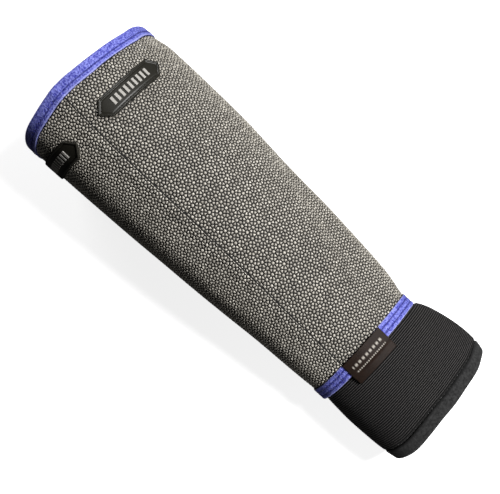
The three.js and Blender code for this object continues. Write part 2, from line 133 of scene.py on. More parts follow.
cuff_shares = table("at left right high waist rest tuck hem", [
    (0.023, 0.485, 0.526, 0.967, 0.446, 0.241, 0.684, 0),
    (0.077, 0.488, 0.547, 0.979, 0.448, 0.252, 0.474, 0),
    (0.169, 0.49, 0.569, 0.995, 0.451, 0.261, 0.211, 0),
    (0.338, 0.491, 0.593, 1.014, 0.448, 0.28, 0.053, 0),
    (0.554, 0.48, 0.607, 1.023, 0.446, 0.288, 0, 0),
    (0.769, 0.464, 0.605, 1.021, 0.453, 0.285, 0, 0.667),
    (0.892, 0.447, 0.591, 1.013, 0.457, 0.272, 0, 1.167),
    (1.015, 0.429, 0.568, 1, 0.461, 0.26, 0, 1.667),
])
crown_shares = table("at side", [(0, -0.026), (0.777, -0.044), (1, -0.01)])
seam_shares = table("at side", [
    (0, -0.123), (0.2, -0.148), (0.4, -0.159), (0.777, -0.214), (1, -0.216),
])
mouth_bow = table("side shift", [
    (-0.996, -0.0275), (-0.858, -0.0232), (-0.618, -0.0077), (-0.172, -0.0026), (0.069, 0.0094),
    (0.292, 0.0129), (0.515, 0.0094), (0.755, -0.0009), (0.91, -0.0206), (1.03, -0.0258),
])
end_bow = table("side shift", [
    (-1.042, 0.0125), (-0.854, 0.0156), (-0.583, 0.0229), (-0.292, 0.0063), (0, -0.0094),
    (0.292, -0.0135), (0.583, -0.025), (0.875, -0.0333), (1.062, -0.0542), (1.208, -0.0625),
])
guard_folds = table("start start_round end end_round depth width", [
    (0.514, 0.733, 1.021, 0.386, 0.0215, 0.077),
    (0.857, 0.167, 0.998, 0.11, -0.0086, 0.069),
    (0.137, -0.281, 0.107, -0.555, 0.0086, 0.137),
])
cuff_folds = table("start start_round end end_round depth width", [
    (0.185, -0.285, 0.508, -0.251, 0.0103, 0.06),
])
# The lapped seam in millimetres: its height, its folded edge, how softly it fades and its widths
LAP = dict(height=0.9, edge=0.5, fade=2.5, dip=0.25, at_mouth=6.0, at_wrist=7.6)
# Its two sewn grooves in millimetres: the one in the fold and the one under the topstitches
FOLD_GROOVE = dict(back=0.6, width=1.2, depth=0.3)
STITCH_GROOVE = dict(width=1.3, depth=0.6)
# Roundness of the quarters of a section: 2 is an ellipse, less is straighter
ROUND_RIGHT, ROUND_LEFT, ROUND_UNDER = 1.7, 2.1, 2.0
MOUTH_REACH, END_REACH = 0.267 * GUARD_LENGTH, 0.77 * CUFF_LENGTH

# %% Tables in millimetres
def nominal(x):
    """Nominal width and height at stations: straight from elbow to wrist tape, then to the hand."""
    guard = np.clip(x / GUARD_LENGTH, 0, 1)
    cuff = np.clip((x - BAND_END) / CUFF_LENGTH, 0, 1)
    width = ELBOW_WIDTH + (WRIST_WIDTH - ELBOW_WIDTH) * guard + (HAND_WIDTH - WRIST_WIDTH) * cuff
    height = ELBOW_HEIGHT + (WRIST_HEIGHT - ELBOW_HEIGHT) * guard + (HAND_HEIGHT - WRIST_HEIGHT) * cuff
    return width, height


def form_in_mm(shares, x, lift):
    width, height = nominal(x)
    form = {key: shares[key] * width for key in ("left", "right", "rest")}
    form.update({key: shares[key] * height for key in ("high", "waist")})
    return dict(form, x=x, lift=lift)


def line_in_mm(shares):
    x = shares["at"] * TOTAL_LENGTH
    return dict(x=x, y=shares["side"] * nominal(x)[0])


def folds_in_mm(rows, start, length):
    across = [rows[key] * ELBOW_WIDTH for key in ("start_round", "end_round", "depth", "width")]
    return list(zip(start + rows["start"] * length, start + rows["end"] * length, *across))


guard_form = form_in_mm(guard_shares, guard_shares["at"] * GUARD_LENGTH, guard_shares["tape"] * TAPE_TOP)
cuff_lift = cuff_shares["tuck"] * LAYERS + cuff_shares["hem"] * HEM_SWELL
cuff_form = form_in_mm(cuff_shares, BAND_END + cuff_shares["at"] * CUFF_LENGTH, cuff_lift)
crown_line, seam_line = line_in_mm(crown_shares), line_in_mm(seam_shares)
folds = folds_in_mm(guard_folds, 0, GUARD_LENGTH) + folds_in_mm(cuff_folds, BAND_END, CUFF_LENGTH)
mouth_bow = dict(y=mouth_bow["side"] * ELBOW_WIDTH / 2, shift=mouth_bow["shift"] * ELBOW_WIDTH)
end_bow = dict(y=end_bow["side"] * HAND_WIDTH / 2, shift=end_bow["shift"] * HAND_WIDTH)
print("soft folds:", len(folds))

# %% [markdown]
# ## One surface for every piece
# Cloth, tape, stitches and plates all lie on the same two skins: the guard's and the cuff's. A skin
# answers one question: where in space is the point at this station, this far round, this far above
# the cloth? With that, a stitch is as easy to place as a whole tube.

# %% Smooth curves through a table
def along(rows, key, x, by="x"):
    """Values on a smooth curve through the rows of a table."""
    xs, ys = rows[by], rows[key]
    last = len(xs) - 1
    x = np.clip(x, xs[0], xs[-1])
    i = np.clip(np.searchsorted(xs, x) - 1, 0, last - 1)
    before, after = np.maximum(i - 1, 0), np.minimum(i + 2, last)
    span = xs[i + 1] - xs[i]
    t = (x - xs[i]) / span
    slope_a = (ys[i + 1] - ys[before]) / (xs[i + 1] - xs[before]) * span
    slope_b = (ys[after] - ys[i]) / (xs[after] - xs[i]) * span
    start = (2 * t**3 - 3 * t**2 + 1) * ys[i] + (t**3 - 2 * t**2 + t) * slope_a
    end = (3 * t**2 - 2 * t**3) * ys[i + 1] + (t**3 - t**2) * slope_b
    return np.where(ys[i] == ys[i + 1], ys[i], start + end)


def smooth(t):
    t = np.clip(t, 0, 1)
    return t * t * (3 - 2 * t)


# %% A section as a ring of points
def quarter(centre, reach_y, reach_z, power, steps=90):
    """A quarter of a rounded section, from where it is level to where it is upright."""
    a = np.arange(steps) / steps * np.pi / 2
    y = centre[0] + reach_y * np.sin(a) ** (2 / power)
    z = centre[1] + reach_z * np.cos(a) ** (2 / power)
    return np.stack([y, z], 1)


def outline(form, x):
    """A section from the crown round by +Y, the underside and -Y."""
    left, right = -along(form, "left", x), along(form, "right", x)
    high, waist = along(form, "high", x), along(form, "waist", x)
    lift, rest = along(form, "lift", x), along(form, "rest", x)
    crown = along(crown_line, "y", x)
    middle = (left + right) / 2
    right_top = quarter((crown, waist), right - crown, high - waist, ROUND_RIGHT)
    right_low = quarter((middle + rest, waist), right - middle - rest, lift - waist, ROUND_UNDER)
    flat = np.stack([middle + rest * (1 - 2 * np.arange(1, 30) / 30), np.full(29, lift)], 1)
    left_low = quarter((middle - rest, waist), left - middle + rest, lift - waist, ROUND_UNDER)
    left_top = quarter((crown, waist), left - crown, high - waist, ROUND_LEFT)
    ends = np.array([[right, waist]]), np.array([[left, waist]])
    return np.vstack([right_top, ends[0], right_low[::-1], flat, left_low, ends[1], left_top[:0:-1]])


def ring_from_seam(form, x):
    """The section as a closed line that starts at the seam, with the distance at each point."""
    points = outline(form, x)
    seam_y, waist = along(seam_line, "y", x), along(form, "waist", x)
    on_top = (points[:, 0] <= seam_y) & (points[:, 1] >= waist)
    at = np.nonzero(on_top)[0][-1]
    a, b = points[at], points[(at + 1) % len(points)]
    start = a + (b - a) * (seam_y - a[0]) / (b[0] - a[0])
    ring = np.vstack([start, np.roll(points, -at - 1, axis=0), start])
    steps = np.hypot(*np.diff(ring, axis=0).T)
    return ring, np.concatenate([[0], np.cumsum(steps)])


# %% Lap, folds and bowed ends
def lap_width(x):
    return LAP["at_mouth"] + (LAP["at_wrist"] - LAP["at_mouth"]) * x / GUARD_END


def groove(away, width):
    """A soft groove: 1 in the middle, fading to nothing past its width."""
    return np.exp(-((away / width) ** 2))


def lap_height(x, around, edge):
    """The lapped seam: one edge lies on the other, and two sewn lines pull it down."""
    width = lap_width(x)
    ahead = 1 - smooth(around / edge)
    fade = smooth((around + width + LAP["fade"]) / LAP["fade"])
    dip = 1 - LAP["dip"] * np.sin(np.pi * np.clip(-around / width, 0, 1))
    at_fold = FOLD_GROOVE["depth"] * groove(around + FOLD_GROOVE["back"], FOLD_GROOVE["width"])
    at_stitches = STITCH_GROOVE["depth"] * groove(around + width, STITCH_GROOVE["width"])
    return LAP["height"] * np.where(around >= 0, ahead, fade * dip) - at_fold - at_stitches


def fold_depth(x, around):
    """How far the soft folds press the cloth in."""
    depth = np.zeros_like(x)
    for x0, x1, r0, r1, deep, width in folds:
        dx, dr = x1 - x0, r1 - r0
        t = np.clip(((x - x0) * dx + (around - r0) * dr) / (dx * dx + dr * dr), 0, 1)
        away = np.hypot(x - x0 - t * dx, around - r0 - t * dr)
        depth += deep * (0.35 + 0.65 * np.sin(np.pi * t)) * groove(away, width)
    return depth


def bow(x, y):
    """The two mouths aren't flat: how far along the sleeve a point is shifted."""
    at_mouth = 1 - smooth(x / MOUTH_REACH)
    at_end = smooth((x - TOTAL_LENGTH + END_REACH) / END_REACH)
    return at_mouth * along(mouth_bow, "shift", y, "y") + at_end * along(end_bow, "shift", y, "y")


# %% The skin
class Skin:
    """An outer surface, looked up by station and by distance round from the seam."""

    around_steps = 720
    # How far to both sides the surface is averaged to find its outward direction, in millimetres
    reach = 1.5
    # The folds stop where the surface looks straight down, so that the flat underside stays flat
    facing_down = -0.999

    def __init__(self, form, start, end):
        self.stations = np.arange(start, end + 1.0)
        self.girths = np.zeros(len(self.stations))
        self.grid = np.zeros((len(self.stations), self.around_steps + 1, 4))
        for k, x in enumerate(self.stations):
            ring, at = ring_from_seam(form, x)
            self.girths[k] = at[-1]
            here = np.linspace(0, at[-1], self.around_steps + 1)
            for c in (0, 1):
                behind = np.interp((here - self.reach) % at[-1], at, ring[:, c])
                ahead = np.interp((here + self.reach) % at[-1], at, ring[:, c])
                self.grid[k, :, c] = np.interp(here, at, ring[:, c])
                self.grid[k, :, 3 - c] = (ahead - behind) * (1, -1)[c]
            flat = self.grid[k, :, 1] < along(form, "lift", x) + 1e-6
            self.grid[k, flat, 2:] = (0, -1)

    def girth(self, x):
        return np.interp(x, self.stations, self.girths)

    def at(self, x, around, height=0.0, edge=LAP["edge"]):
        """Points in the row frame, in metres. edge is how steeply the lap ends; 0 leaves it out."""
        x, around, height = np.broadcast_arrays(*(np.asarray(v, float) for v in (x, around, height)))
        girth = self.girth(x)
        signed = (around + girth / 2) % girth - girth / 2
        i = np.clip(x - self.stations[0], 0, len(self.stations) - 1.000001)
        j = np.clip(around % girth / girth * self.around_steps, 0, self.around_steps - 1e-6)
        i0, j0 = i.astype(int), j.astype(int)
        fi, fj = (i - i0)[..., None], (j - j0)[..., None]
        near = self.grid[i0, j0] * (1 - fj) + self.grid[i0, j0 + 1] * fj
        far = self.grid[i0 + 1, j0] * (1 - fj) + self.grid[i0 + 1, j0 + 1] * fj
        y, z, out_y, out_z = np.moveaxis(near * (1 - fi) + far * fi, -1, 0)
        size = np.hypot(out_y, out_z)
        rise = height - fold_depth(x, signed) * (out_z / size > self.facing_down)
        if edge:
            rise = rise + lap_height(x, signed, edge)
        y = y + rise * out_y / size
        z = z + rise * out_z / size
        z = (z + np.sqrt(z * z + FLOOR_SOFTNESS ** 2)) / 2
        return np.stack([x + bow(x, y) + SHIFT_X, y + SHIFT_Y, z], -1) * MM


# Filled in below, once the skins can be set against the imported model
SHIFT_X = SHIFT_Y = 0.0
# Cloth that would sink into the floor is eased on to it within this height
FLOOR_SOFTNESS = 0.6
guard_skin = Skin(guard_form, 0, GUARD_END + 5)
cuff_skin = Skin(cuff_form, BAND_END, TOTAL_LENGTH + 1)
print("girth at elbow and wrist:", guard_skin.girth(0).round(), guard_skin.girth(BAND_START).round())

# %% [markdown]
# The row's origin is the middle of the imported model's underside, so the skins are slid sideways until
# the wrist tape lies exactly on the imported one.

# %% Line up with the frame
band_low, band_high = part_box("wrist_band")
turn = np.linspace(0, guard_skin.girth(BAND_END), 721)
band_ring = guard_skin.at(BAND_START + 1, turn, TAPE_TOP)
SHIFT_X = band_low.x / MM - BAND_START
SHIFT_Y = (band_low.y + band_high.y - band_ring[:, 1].min() - band_ring[:, 1].max()) / 2 / MM
print("row origin from the source's zero:", round(SHIFT_X, 2), round(SHIFT_Y, 2), "mm")

# %% [markdown]
# ## Camera
# The photograph is a close view from nearly straight above, turned so that the sleeve runs from the
# upper left to the lower right. The lens and height were worked out from how the outline tapers.

# %% Camera
LENS_MM, SENSOR_MM = 56.9, 36.0
CAMERA_PLACE = (0.0364, -0.0006, 0.598)
CAMERA_BACK = (0.0783, 0.0063, 0.9969)
# The sleeve's direction in the picture: so much to the right, so much down
SLEEVE_RUNS = (0.731, 0.682)

camera_data = bpy.data.cameras.new("photo_camera")
camera_data.sensor_width = SENSOR_MM
camera_data.lens = LENS_MM
camera = bpy.data.objects.new("photo_camera", camera_data)
bpy.context.scene.collection.objects.link(camera)
bpy.context.scene.camera = camera
back = Vector(CAMERA_BACK).normalized()
along_sleeve = (Vector((1, 0, 0)) - back * back.x).normalized()
across_sleeve = back.cross(along_sleeve)
turned = math.atan2(SLEEVE_RUNS[1], SLEEVE_RUNS[0])
right = along_sleeve * math.cos(turned) + across_sleeve * math.sin(turned)
looking = Matrix((right, back.cross(right), back)).transposed().to_4x4()
camera.matrix_world = Matrix.Translation(CAMERA_PLACE) @ looking
tilt = math.degrees(back.angle((0, 0, 1)))
print("camera height:", round(camera.location.z, 3), "m, tilt:", round(tilt, 1), "degrees")

# %% [markdown]
# ## Light and floor
# A large soft light stands to the right and above, where the photograph is brightest. The left side
# of the sleeve falls nearly to black there, so the pale floor is kept from throwing light back up.
# A weak lamp opens the shade beside the cuff, and another one shows the lining inside the mouth.

# %% Lamps and air
# Place and disk size in metres, and power in watts
LAMPS = {
    "key_softbox": ((0.34, 0.72, 1.02), 0.4, 22.2),
    "wrist_fill": ((0.34, -0.22, 0.14), 0.12, 0.13),
    "mouth_fill": ((-0.62, 0.12, 0.11), 0.2, 1.2),
}
AIR_STRENGTH = 0.015


def soft_light(name, place, size, watts):
    """A round lamp that looks at the sleeve's middle and isn't seen itself."""
    data = bpy.data.lights.new(name, "AREA")
    data.shape = "DISK"
    data.size = size
    data.energy = watts
    light = bpy.data.objects.new(name, data)
    bpy.context.scene.collection.objects.link(light)
    light.location = place
    light.rotation_euler = (-Vector(place)).to_track_quat("-Z", "Y").to_euler()
    light.visible_camera = False


for name, (place, size, watts) in LAMPS.items():
    soft_light(name, place, size, watts)
world = bpy.data.worlds.new("studio_air")
bpy.context.scene.world = world
world.use_nodes = True
air = world.node_tree.nodes["Background"].inputs
air["Color"].default_value = (1, 1, 1, 1)
air["Strength"].default_value = AIR_STRENGTH
bpy.context.scene.view_settings.view_transform = "Standard"
print("lamps:", ", ".join(LAMPS))

# %% [markdown]
# ## Tools for materials
# Colours are written as sRGB hex, the way a maker reads them off a swatch, and turned to the linear
# values that a renderer needs. One function adds a node with its settings, values and links, and a
# few short ones built on it do sums, mix two colours and add fine relief.

# %% Colour and node helpers
def hex_colour(code):
    """sRGB hex to linear RGBA."""
    parts = np.array([int(code[k:k + 2], 16) for k in (1, 3, 5)]) / 255
    linear = np.where(parts <= 0.04045, parts / 12.92, ((parts + 0.055) / 1.055) ** 2.4)
    return (*linear.tolist(), 1.0)


def add(material, kind, links=None, values=None, **settings):
    """Adds a node. Links name a socket and its source; values name a socket and its value."""
    node = material.node_tree.nodes.new("ShaderNode" + kind)
    for key, value in settings.items():
        setattr(node, key, value)
    for key, value in (values or {}).items():
        node.inputs[key].default_value = value
    for key, source in (links or {}).items():
        material.node_tree.links.new(source, node.inputs[key])
    return node


def new_material(name, colour, roughness, **values):
    """A named material with its shader's own values set. Returns it and its shader."""
    material = bpy.data.materials.new(name)
    material.use_nodes = True
    shader = material.node_tree.nodes["Principled BSDF"]
    shader.inputs["Base Color"].default_value = hex_colour(colour)
    shader.inputs["Roughness"].default_value = roughness
    for key, value in values.items():
        shader.inputs[key.replace("_", " ").title().replace("Ior", "IOR")].default_value = value
    return material, shader


def link(material, source, socket):
    material.node_tree.links.new(source, socket)


def maths(material, operation, *terms):
    """One sum on sockets and numbers. Returns its result."""
    node = add(material, "Math", operation=operation)
    for place, term in zip(node.inputs, terms):
        if isinstance(term, (int, float)):
            place.default_value = term
        else:
            link(material, term, place)
    return node.outputs[0]


def ranged(material, value, low, high, start=0.0):
    """Stretches values between low and high to run from start to 1, and clips the rest."""
    limits = {"From Min": low, "From Max": high, "To Min": start}
    return add(material, "MapRange", {"Value": value}, limits).outputs[0]


def blend(material, share, one, other):
    """Mixes two colours, each a hex code or a socket. A share of 0 gives the first."""
    node = add(material, "Mix", {0: share}, data_type="RGBA")
    for place, colour in ((node.inputs[6], one), (node.inputs[7], other)):
        if isinstance(colour, str):
            place.default_value = hex_colour(colour)
        else:
            link(material, colour, place)
    return node.outputs[2]


def relief(material, shader, height, strength, depth_mm):
    """Fine relief, too small for the mesh."""
    bump = add(material, "Bump", {"Height": height}, {"Strength": strength, "Distance": depth_mm * MM})
    link(material, bump.outputs["Normal"], shader.inputs["Normal"])


def noise(material, size_mm, detail=2.0, roughness=0.5):
    """Cloudy noise with lumps of a real size."""
    place = add(material, "TexCoord")
    values = {"Scale": 1 / (size_mm * MM), "Detail": detail, "Roughness": roughness}
    return add(material, "TexNoise", {"Vector": place.outputs["Object"]}, values).outputs["Fac"]


def map_axes(material):
    """The two axes of a mesh's map in millimetres: along the sleeve and round it."""
    uv = add(material, "UVMap", uv_map="cloth_mm")
    split = add(material, "SeparateXYZ", {"Vector": uv.outputs["UV"]})
    return split.outputs["X"], split.outputs["Y"]


def near_line(material, along_map, centre, width):
    """1 on a line of the map at a station, falling softly to 0 a width away."""
    away = maths(material, "ABSOLUTE", maths(material, "SUBTRACT", along_map, centre))
    limits = {"From Min": 0.0, "From Max": width, "To Min": 1.0, "To Max": 0.0}
    return add(material, "MapRange", {"Value": away}, limits, interpolation_type="SMOOTHSTEP").outputs[0]


# %% Floor
# Opal acrylic over a light box: white from within, so that shadows on it stay faint.
floor_paint, shader = new_material(
    "opal_light_table", "#f4f4f4", 0.9, emission_color=(1, 1, 1, 1), emission_strength=0.82
)
relief(floor_paint, shader, noise(floor_paint, 3.0), 0.05, 0.1)
FLOOR_HALF = 3.0
corners = [(x * FLOOR_HALF, y * FLOOR_HALF, 0) for x, y in ((-1, -1), (1, -1), (1, 1), (-1, 1))]
mesh = bpy.data.meshes.new("studio_floor")
mesh.from_pydata(corners, [], [(0, 1, 2, 3)])
mesh.materials.append(floor_paint)
floor = bpy.data.objects.new("studio_floor", mesh)
bpy.context.scene.collection.objects.link(floor)
floor.visible_diffuse = False
floor.visible_glossy = False
floor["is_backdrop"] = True

# %% [markdown]
# ## Tools for meshes
# Most pieces here are tubes: a loop of rings that runs along the outside, turns over an edge and comes
# back inside, so the solid has a real wall. The tubes and the label keep a map in millimetres, along the
# sleeve and round it, so that weave and ribs can be drawn at their real size.

# %% Mesh helpers
def new_piece(name, points, faces, material, slot, face_uv=None, flat=False):
    """A mesh piece that rides on the sleeve. face_uv holds a map point for each corner of each face."""
    mesh = bpy.data.meshes.new(name)
    mesh.from_pydata(points.reshape(-1, 3).tolist(), [], faces)
    if face_uv is not None:
        layer = mesh.uv_layers.new(name="cloth_mm")
        layer.data.foreach_set("uv", np.asarray(face_uv, np.float32).ravel())
    mesh.polygons.foreach_set("use_smooth", [not flat] * len(mesh.polygons))
    for m in material if isinstance(material, list) else [material]:
        mesh.materials.append(m)
    mesh.validate()
    piece = bpy.data.objects.new(name, mesh)
    bpy.context.scene.collection.objects.link(piece)
    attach(piece, "root")
    triangles = sum(len(f) - 2 for f in faces)
    print(f"{name}: {triangles} triangles")
    return piece


def tube(name, rings, uv, material, slot):
    """A solid from a loop of rings (rows, columns, 3). uv has one more column than the rings."""
    rows, columns = rings.shape[:2]
    index = np.arange(rows * columns).reshape(rows, columns)
    a, d = index, np.roll(index, -1, axis=0)
    b, c = np.roll(a, -1, axis=1), np.roll(d, -1, axis=1)
    faces = np.stack([a, b, c, d], -1).reshape(-1, 4)
    next_uv = np.roll(uv, -1, axis=0)
    corners = np.stack([uv[:, :-1], uv[:, 1:], next_uv[:, 1:], next_uv[:, :-1]], 2).reshape(-1, 4, 2)
    flat = rings.reshape(-1, 3)
    normals = np.cross(flat[faces[:, 1]] - flat[faces[:, 0]], flat[faces[:, 3]] - flat[faces[:, 0]])
    if (normals * flat[faces[:, 0]]).sum() < 0:
        faces, corners = faces[:, ::-1], corners[:, ::-1]
    return new_piece(name, rings, faces.tolist(), material, slot, corners)


def rings_on(skin, x, heights, columns, edge=LAP["edge"]):
    """Rings at stations and heights, and their map in millimetres."""
    x, heights = np.broadcast_arrays(np.asarray(x, float), np.asarray(heights, float))
    share = np.arange(columns + 1) / columns
    around = share[None, :] * skin.girth(x)[:, None]
    height = np.broadcast_to(heights[:, None], around.shape)
    points = skin.at(x[:, None], around, height, edge)[:, :-1]
    return points, np.stack([np.broadcast_to(x[:, None], around.shape), around], -1)

# %% [markdown]
# ## The guard's base cloth
# Under the plates is a black woven base cloth with a lining behind it. It shows as dark lines between
# the plates, so its colour sets how deep the pattern looks. It is a tube with a real wall: the outer
# face, the raw end that hides under the wrist tape, and the lining that shows through the mouth.

# %% Woven cloth material
def weave_height(material, thread_mm):
    """Plain weave on the map: threads along and across, over and under in turn."""
    turns = [maths(material, "MULTIPLY", axis, math.pi / thread_mm) for axis in map_axes(material)]
    return maths(material, "MULTIPLY", *(maths(material, "SINE", turn) for turn in turns))


def cloth_material(name, dark, light, thread_mm, depth_mm, roughness=0.85, **values):
    """Woven cloth with threads of two close tones. Returns it, its shader and its colour."""
    material, shader = new_material(name, dark, roughness, **values)
    height = weave_height(material, thread_mm)
    cloud = noise(material, 4.0, 3.0)
    share = maths(material, "MULTIPLY", ranged(material, height, -1.0, 1.0), cloud)
    tone = blend(material, share, dark, light)
    link(material, tone, shader.inputs["Base Color"])
    relief(material, shader, height, 0.6, depth_mm)
    return material, shader, tone


# Nylon base cloth: dull near-black threads about half a millimetre apart.
base_cloth, _, _ = cloth_material("woven_nylon_base", "#0d0c0b", "#1d1b19", 0.5, 0.1)
# Lining against the arm: soft dark grey knit with a coarser, shallower stitch.
lining, _, _ = cloth_material("grey_knit_lining", "#3c3c3f", "#77777c", 0.9, 0.15)

# %% Guard tube
GUARD_COLUMNS = 300
RING_STEP = 1.7
INNER_RINGS = 70
under_binding = np.linspace(GUARD_START, BINDING_WIDTH, 4)
between = np.arange(BINDING_WIDTH + 1.5, BAND_START - 0.5, RING_STEP)
outer_x = np.concatenate([under_binding, between, [BAND_START, GUARD_END]])
inner_between = np.linspace(BAND_START - 18.5, BINDING_WIDTH + 7.5, INNER_RINGS)
inner_x = np.concatenate([[GUARD_END, GUARD_END - CUFF_TUCK], inner_between, [BINDING_WIDTH, GUARD_START]])
outside, uv_out = rings_on(guard_skin, outer_x, 0.0, GUARD_COLUMNS)
inside, uv_in = rings_on(guard_skin, inner_x, -GUARD_WALL, GUARD_COLUMNS, edge=0)
rings, maps = np.concatenate([outside, inside]), np.concatenate([uv_out, uv_in])
guard_cloth = tube("guard_cloth", rings, maps, [base_cloth, lining], "guard_fabric")
for face in guard_cloth.data.polygons:
    face.material_index = int(face.index >= len(outer_x) * GUARD_COLUMNS)
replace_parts(guard_cloth, "guard_sleeve")

# %% [markdown]
# ## The guard plates
# What stops a blade is a layer of tiny hard plates, printed on the cloth in a repeating pattern and
# cured. Each plate is a low pebble with a flat underside, about two millimetres across, with a narrow
# gap to its neighbours. The pattern repeats on a square of 5.2 mm with five plates in it.
# A bump map would look flat from the side, so the plates are real geometry. Their outlines are the
# cells nearest to five seed points, which is how such patterns are drawn.
# The cloth is cut flat and rolled into a cone, so the pattern is laid out on the flat cut and rolled
# up with it. The right panel's pattern follows the panel's own middle line, the left one's the seam.

# %% One repeat of the pattern
REPEAT = 5.2
PLATE_GAP = 0.58
PLATE_HEIGHT = 0.62
plate_seeds = np.array([(0, 0), (0.19, 0.5), (-0.19, 0.5), (0.5, 0.2), (0.5, -0.2)]) * REPEAT


def clipped(polygon, point, normal):
    """The part of a convex polygon behind a line."""
    side = (polygon - point) @ normal
    kept = []
    for k in range(len(polygon)):
        a, b, sa, sb = polygon[k - 1], polygon[k], side[k - 1], side[k]
        if (sa <= 0) != (sb <= 0):
            kept.append(a + (b - a) * sa / (sa - sb))
        if sb <= 0:
            kept.append(b)
    return np.array(kept)


def plate_outline(seed):
    """The cell nearest to one seed of the repeating pattern, drawn in by half the gap."""
    cell = seed + REPEAT * np.array([(-1, -1), (1, -1), (1, 1), (-1, 1)])
    for shift in np.ndindex(5, 5):
        for other in plate_seeds + (np.array(shift) - 2) * REPEAT:
            away = other - seed
            far = np.hypot(*away)
            if far > 1e-6:
                cell = clipped(cell, seed + away * (0.5 - PLATE_GAP / 2 / far), away / far)
    return cell


plate_outlines = [plate_outline(seed) for seed in plate_seeds]
print("corners of the five plates:", [len(p) for p in plate_outlines])

# %% From the flat cut to the sleeve
CONE_ANGLE = (guard_skin.girth(0) - guard_skin.girth(BAND_START)) / GUARD_LENGTH
APEX = guard_skin.girth(0) / CONE_ANGLE


def roll_up(flat, middle_angle):
    """Places on the flat cut, as stations and distances round. The cut's middle line is its x axis."""
    radius = np.hypot(flat[..., 0], flat[..., 1])
    angle = np.arctan2(flat[..., 1], flat[..., 0]) + middle_angle
    return APEX - radius, angle * radius


def laid_plates(middle_angle, widest_angle):
    """Corners of every plate on a panel: for each of the five shapes an array (plates, corners, 2)."""
    first, last = int((APEX - GUARD_LENGTH) / REPEAT) - 3, int(APEX / REPEAT) + 3
    to_side = int(APEX * widest_angle / REPEAT) + 2
    reach_x = np.arange(first, last) * REPEAT
    reach_y = np.arange(-to_side, to_side + 1) * REPEAT
    cells = np.stack(np.meshgrid(reach_x, reach_y, indexing="ij"), -1).reshape(-1, 1, 2)
    return [roll_up(cells + shape, middle_angle) for shape in plate_outlines]


# %% Patches cover some plates
PATCH = dict(length=58.0, width=15.5, tip=6.5, border=1.6, plate=1.0, rim=0.6, blunt=0.8)
# Station of the middle, distance round it as a share of the elbow's width, and slant
PATCH_PLACES = {"front_patch": (34.5, 0.316, -0.045), "side_patch": (30.0, -0.388, 0.2)}
# How far plates keep off a patch
PATCH_CLEAR = 0.3
HALF_LONG, HALF_WIDE = PATCH["length"] / 2, PATCH["width"] / 2
TIP_RUN = HALF_WIDE - PATCH["blunt"]
TIP_SLOPE = math.hypot(TIP_RUN, PATCH["tip"])


def past_patch_edge(s, across):
    """How far points lie past a patch's long sides and past its tips. Inside, both are negative."""
    past_side = np.abs(across) - HALF_WIDE
    past_tip = (np.abs(s) - HALF_LONG) * TIP_RUN + (np.abs(across) - PATCH["blunt"]) * PATCH["tip"]
    return past_side, past_tip / TIP_SLOPE


def pushed_clear(x, around, place):
    """Moves corners that lie under a patch out to a line just past its edge."""
    station, share, slant = place
    s = around - share * ELBOW_WIDTH
    across = x - station - slant * s
    past_side, past_tip = past_patch_edge(s, across)
    by_side = past_side >= past_tip
    short = np.maximum(PATCH_CLEAR - np.maximum(past_side, past_tip), 0)
    s = s + np.where(by_side, 0, TIP_RUN / TIP_SLOPE) * np.sign(s) * short
    across = across + np.where(by_side, 1, PATCH["tip"] / TIP_SLOPE) * np.sign(across) * short
    return across + station + slant * s, s + share * ELBOW_WIDTH


# %% Build the plates
# A plate's shoulder: how wide and how high it is, as shares of the plate
SHOULDER_WIDTH, SHOULDER_HEIGHT = 0.8, 0.6
# How deep its foot stands in the cloth, and the smallest piece of a plate that is kept
FOOT_DEPTH = 0.15
SMALLEST = 0.35
# How far past the panel's edges a plate's middle may lie, and how close plates come to tape and seam
PLATE_REACH = 1.2
EDGE_X = (BINDING_WIDTH + 0.15, BAND_START - 0.15)
SEAM_CLEAR = (0.4, 0.2)


def trimmed(x, around, side):
    """Cuts plates off at the tapes and seams, and drops what is too small or hidden."""
    half = guard_skin.girth(np.clip(x, 0, GUARD_LENGTH)) / 2
    low, high = (SEAM_CLEAR[0], half) if side > 0 else (-half, -SEAM_CLEAR[1])
    cut_x = np.clip(x, *EDGE_X)
    cut_round = np.clip(around, low, high)
    for place in PATCH_PLACES.values():
        cut_x, cut_round = pushed_clear(cut_x, cut_round, place)
    keep = (np.ptp(cut_x, axis=1) > SMALLEST) & (np.ptp(cut_round, axis=1) > SMALLEST)
    return cut_x[keep], cut_round[keep]


def plate_meshes(x, around):
    """Levels of each plate: underside, shoulder, and one raised middle point."""
    middle_x, middle_round = x.mean(1, keepdims=True), around.mean(1, keepdims=True)
    shoulder_x = middle_x + (x - middle_x) * SHOULDER_WIDTH
    shoulder_round = middle_round + (around - middle_round) * SHOULDER_WIDTH
    under = guard_skin.at(x, around, -FOOT_DEPTH)
    shoulder = guard_skin.at(shoulder_x, shoulder_round, PLATE_HEIGHT * SHOULDER_HEIGHT)
    top = guard_skin.at(middle_x, middle_round, PLATE_HEIGHT)
    return np.concatenate([under, shoulder, top], 1)


def plate_faces(n):
    """Faces of one plate of n corners, whose points are underside, shoulder and middle."""
    sides = [(k, n + k, n + (k + 1) % n, (k + 1) % n) for k in range(n)]
    cap = [(n + k, 2 * n, n + (k + 1) % n) for k in range(n)]
    return sides + cap + [tuple(range(n))]


# %% Plate material
# Printed epoxy: warm grey, hard and slightly glossy, each plate a little different in tone.
plate_resin, shader = new_material(
    "printed_epoxy_plate", "#b1aca2", 0.34, ior=1.55, coat_weight=0.5, coat_roughness=0.24
)
each = add(plate_resin, "NewGeometry").outputs["Random Per Island"]
share = maths(plate_resin, "MULTIPLY", each, noise(plate_resin, 7.0, 4.0))
link(plate_resin, blend(plate_resin, share, "#918c83", "#e6e0d3"), shader.inputs["Base Color"])
relief(plate_resin, shader, noise(plate_resin, 0.4), 0.25, 0.06)

